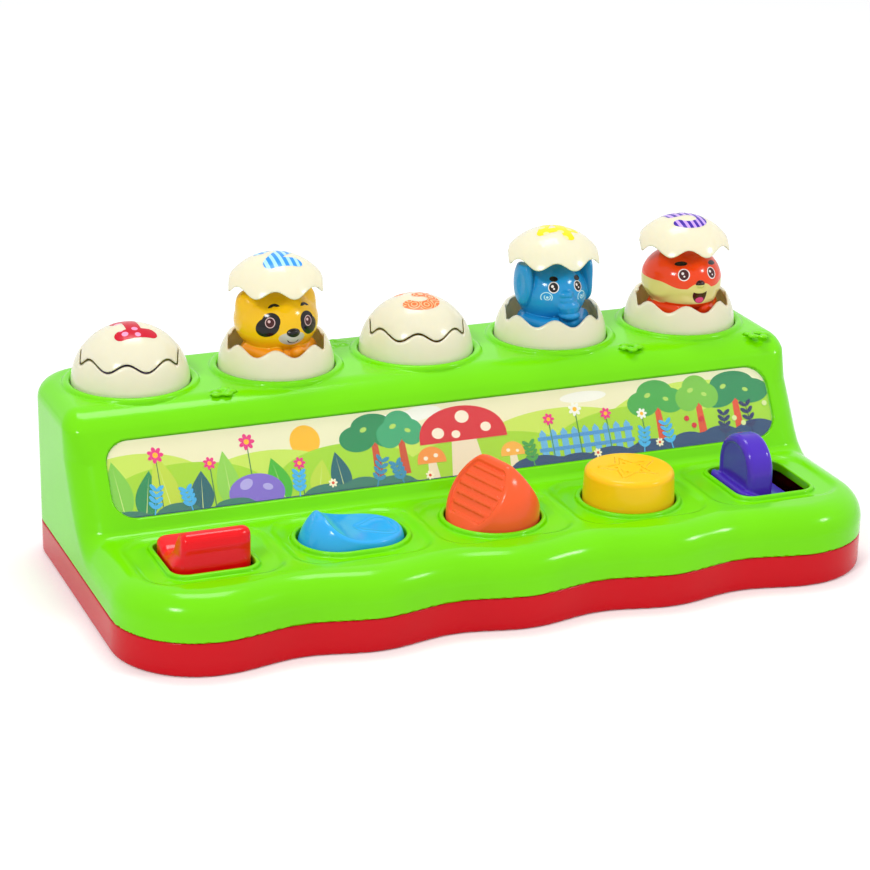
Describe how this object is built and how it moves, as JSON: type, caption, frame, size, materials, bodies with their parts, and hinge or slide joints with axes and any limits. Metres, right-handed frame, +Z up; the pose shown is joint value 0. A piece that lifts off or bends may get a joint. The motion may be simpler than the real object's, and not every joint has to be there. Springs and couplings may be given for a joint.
{
  "type": "pop up animal toy",
  "caption": "Stepped toy casing with a row of egg hatches on the rear deck, sprung animal figures inside them, and a row of push, rock, turn and flip controls on the front ledge.",
  "frame": {"origin": "middle of the footprint, on the surface the toy stands on", "axes": "+Z up, +X to the right along the length, front with the controls towards -Y"},
  "size_m": [0.33, 0.163, 0.1265],
  "materials": {
    "green_plastic": "gloss moulded",
    "red_plastic": "satin moulded",
    "card": "printed card",
    "clear_plastic": "clear gloss sheet",
    "cream_plastic": "gloss moulded",
    "hippo_purple": "gloss moulded",
    "panda_yellow": "gloss moulded",
    "lion_gold": "gloss moulded",
    "elephant_blue": "gloss moulded",
    "fox_orange": "gloss moulded",
    "white_plastic": "satin moulded",
    "latch_plastic": "satin moulded",
    "spring_steel": "drawn wire",
    "bar_red": "gloss moulded",
    "rocker_blue": "gloss moulded",
    "knob_orange": "gloss moulded",
    "button_yellow": "gloss moulded",
    "lever_purple": "gloss moulded"
  },
  "bodies": {
    "housing": {"base_tray": "red_plastic", "upper_housing": "green_plastic", "picture_card": "card", "picture_window": "clear_plastic", "guide_frame": "white_plastic", "latch_axle": "spring_steel", "press_bar_pin": "spring_steel", "rocker_pin": "spring_steel", "lever_pin": "spring_steel", "housing_screws": "spring_steel", "frame_screws": "spring_steel", "egg_shell_1": "cream_plastic", "egg_shell_2": "cream_plastic", "egg_shell_3": "cream_plastic", "egg_shell_4": "cream_plastic", "egg_shell_5": "cream_plastic", "pop_spring_1": "spring_steel", "pop_spring_2": "spring_steel", "pop_spring_3": "spring_steel", "pop_spring_4": "spring_steel", "pop_spring_5": "spring_steel", "latch_spring_1": "spring_steel", "latch_spring_2": "spring_steel", "latch_spring_3": "spring_steel", "latch_spring_4": "spring_steel", "latch_spring_5": "spring_steel"},
    "hippo_lift": {"egg_cap_1": "cream_plastic", "hippo_figure": "hippo_purple", "lift_carrier_1": "white_plastic"},
    "panda_lift": {"egg_cap_2": "cream_plastic", "panda_figure": "panda_yellow", "lift_carrier_2": "white_plastic"},
    "lion_lift": {"egg_cap_3": "cream_plastic", "lion_figure": "lion_gold", "lift_carrier_3": "white_plastic"},
    "elephant_lift": {"egg_cap_4": "cream_plastic", "elephant_figure": "elephant_blue", "lift_carrier_4": "white_plastic"},
    "fox_lift": {"egg_cap_5": "cream_plastic", "fox_figure": "fox_orange", "lift_carrier_5": "white_plastic"},
    "press_bar": {"press_bar": "bar_red"},
    "latch_1": {"latch_1": "latch_plastic"},
    "tilt_rocker": {"tilt_rocker": "rocker_blue"},
    "latch_2": {"latch_2": "latch_plastic"},
    "turn_knob": {"turn_knob": "knob_orange"},
    "latch_3": {"latch_3": "latch_plastic"},
    "push_button": {"push_button": "button_yellow"},
    "latch_4": {"latch_4": "latch_plastic"},
    "flip_lever": {"flip_lever": "lever_purple"},
    "latch_5": {"latch_5": "latch_plastic"}
  },
  "joints": [
    {"name": "pop_1", "type": "slide", "parent": "housing", "child": "hippo_lift", "axis": [0, 0, 1], "range_m": [0, 0.0246], "deforming": ["pop_spring_1"]},
    {"name": "pop_2", "type": "slide", "parent": "housing", "child": "panda_lift", "axis": [0, 0, 1], "range_m": [-0.0246, 0], "stiffness_N_per_m": 40, "springref_m": 0.025, "deforming": ["pop_spring_2"]},
    {"name": "pop_3", "type": "slide", "parent": "housing", "child": "lion_lift", "axis": [0, 0, 1], "range_m": [0, 0.0246], "deforming": ["pop_spring_3"]},
    {"name": "pop_4", "type": "slide", "parent": "housing", "child": "elephant_lift", "axis": [0, 0, 1], "range_m": [-0.0246, 0], "stiffness_N_per_m": 40, "springref_m": 0.025, "deforming": ["pop_spring_4"]},
    {"name": "pop_5", "type": "slide", "parent": "housing", "child": "fox_lift", "axis": [0, 0, 1], "range_m": [-0.0246, 0], "stiffness_N_per_m": 40, "springref_m": 0.025, "deforming": ["pop_spring_5"]},
    {"name": "bar_press", "type": "hinge", "parent": "housing", "child": "press_bar", "pos_m": [-0.124, -0.0237, 0.0255], "axis": [1, 0, 0], "range_deg": [0, 12], "stiffness_Nm_per_rad": 0.05, "springref_deg": -34.38},
    {"name": "latch_1_swing", "type": "hinge", "parent": "housing", "child": "latch_1", "pos_m": [-0.128, 0.0132, 0.024], "axis": [1, 0, 0], "range_deg": [0, 5.4], "deforming": ["latch_spring_1"]},
    {"name": "rocker_tilt", "type": "hinge", "parent": "housing", "child": "tilt_rocker", "pos_m": [-0.062, -0.0377, 0.026], "axis": [0, -1, 0], "range_deg": [0, 13], "stiffness_Nm_per_rad": 0.05, "springref_deg": -34.38},
    {"name": "latch_2_swing", "type": "hinge", "parent": "housing", "child": "latch_2", "pos_m": [-0.064, 0.0132, 0.024], "axis": [1, 0, 0], "range_deg": [0, 6.5], "deforming": ["latch_spring_2"]},
    {"name": "knob_turn", "type": "hinge", "parent": "housing", "child": "turn_knob", "pos_m": [0, -0.0377, 0.02], "axis": [0, 0, 1], "range_deg": [0, 60], "stiffness_Nm_per_rad": 0.02, "springref_deg": -17.19},
    {"name": "latch_3_swing", "type": "hinge", "parent": "housing", "child": "latch_3", "pos_m": [0, 0.0132, 0.024], "axis": [1, 0, 0], "range_deg": [0, 6], "deforming": ["latch_spring_3"]},
    {"name": "button_push", "type": "slide", "parent": "housing", "child": "push_button", "axis": [0, 0, -1], "range_m": [0, 0.0055], "stiffness_N_per_m": 120, "springref_m": -0.004},
    {"name": "latch_4_swing", "type": "hinge", "parent": "housing", "child": "latch_4", "pos_m": [0.064, 0.0132, 0.024], "axis": [1, 0, 0], "range_deg": [0, 7.2], "deforming": ["latch_spring_4"]},
    {"name": "lever_flip", "type": "hinge", "parent": "housing", "child": "flip_lever", "pos_m": [0.1175, -0.0377, 0.017], "axis": [0, 1, 0], "range_deg": [0, 30], "stiffness_Nm_per_rad": 0.05, "springref_deg": -34.38},
    {"name": "latch_5_swing", "type": "hinge", "parent": "housing", "child": "latch_5", "pos_m": [0.128, 0.0132, 0.024], "axis": [1, 0, 0], "range_deg": [0, 7.5], "deforming": ["latch_spring_5"]}
  ],
  "couplings": [
    {"joint": "latch_1_swing", "follows": "bar_press", "ratio": 0.45},
    {"joint": "latch_2_swing", "follows": "rocker_tilt", "ratio": 0.5},
    {"joint": "latch_3_swing", "follows": "knob_turn", "ratio": 0.1},
    {"joint": "latch_4_swing", "follows": "button_push", "rad_per_m": 22.84},
    {"joint": "latch_5_swing", "follows": "lever_flip", "ratio": 0.25}
  ]
}
